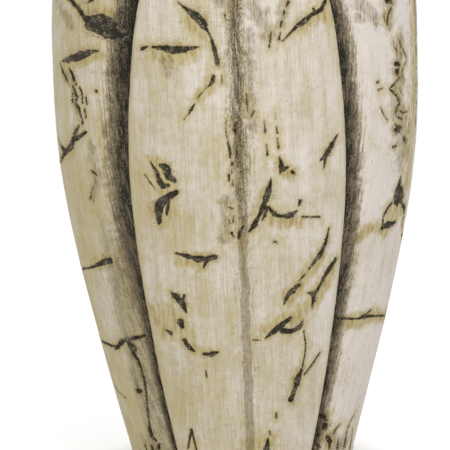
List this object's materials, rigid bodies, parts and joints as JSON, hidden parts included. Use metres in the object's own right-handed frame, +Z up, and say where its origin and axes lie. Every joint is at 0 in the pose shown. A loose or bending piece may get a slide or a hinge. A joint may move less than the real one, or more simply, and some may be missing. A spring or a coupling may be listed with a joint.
{
  "type": "cachepot",
  "caption": "Tall footed cachepot of overlapping weathered petals, with a lift-out plastic liner, pull-up grips and a drain plug.",
  "frame": {"origin": "on the floor under the middle of the pot", "axes": "+Z up, the front petal faces -Y"},
  "size_m": [0.3456, 0.3415, 0.5],
  "materials": {
    "aged_white": "brushed off-white over ochre, gouged and cracked, dark wax in the recesses",
    "raw_laminate": "raw fibre laminate",
    "black_plastic": "moulded satin",
    "grip_plastic": "moulded satin",
    "plug_rubber": "matt",
    "pad_rubber": "matt"
  },
  "bodies": {
    "pot": {"shell": "aged_white", "liner_ring": "raw_laminate", "foot_pad_1": "pad_rubber", "foot_pad_2": "pad_rubber", "foot_pad_3": "pad_rubber", "foot_pad_4": "pad_rubber", "foot_pad_5": "pad_rubber"},
    "insert": {"liner": "black_plastic"},
    "left_grip": {"grip_left": "grip_plastic"},
    "right_grip": {"grip_right": "grip_plastic"},
    "plug": {"drain_plug": "plug_rubber"}
  },
  "joints": [
    {"name": "liner_lift", "type": "slide", "parent": "pot", "child": "insert", "axis": [0, 0, 1], "range_m": [0, 0.36]},
    {"name": "left_grip_slide", "type": "slide", "parent": "insert", "child": "left_grip", "axis": [0, 0, 1], "range_m": [0, 0.075]},
    {"name": "right_grip_slide", "type": "slide", "parent": "insert", "child": "right_grip", "axis": [0, 0, 1], "range_m": [0, 0.075]},
    {"name": "plug_pull", "type": "slide", "parent": "pot", "child": "plug", "axis": [0, 0, 1], "range_m": [0, 0.06]}
  ]
}
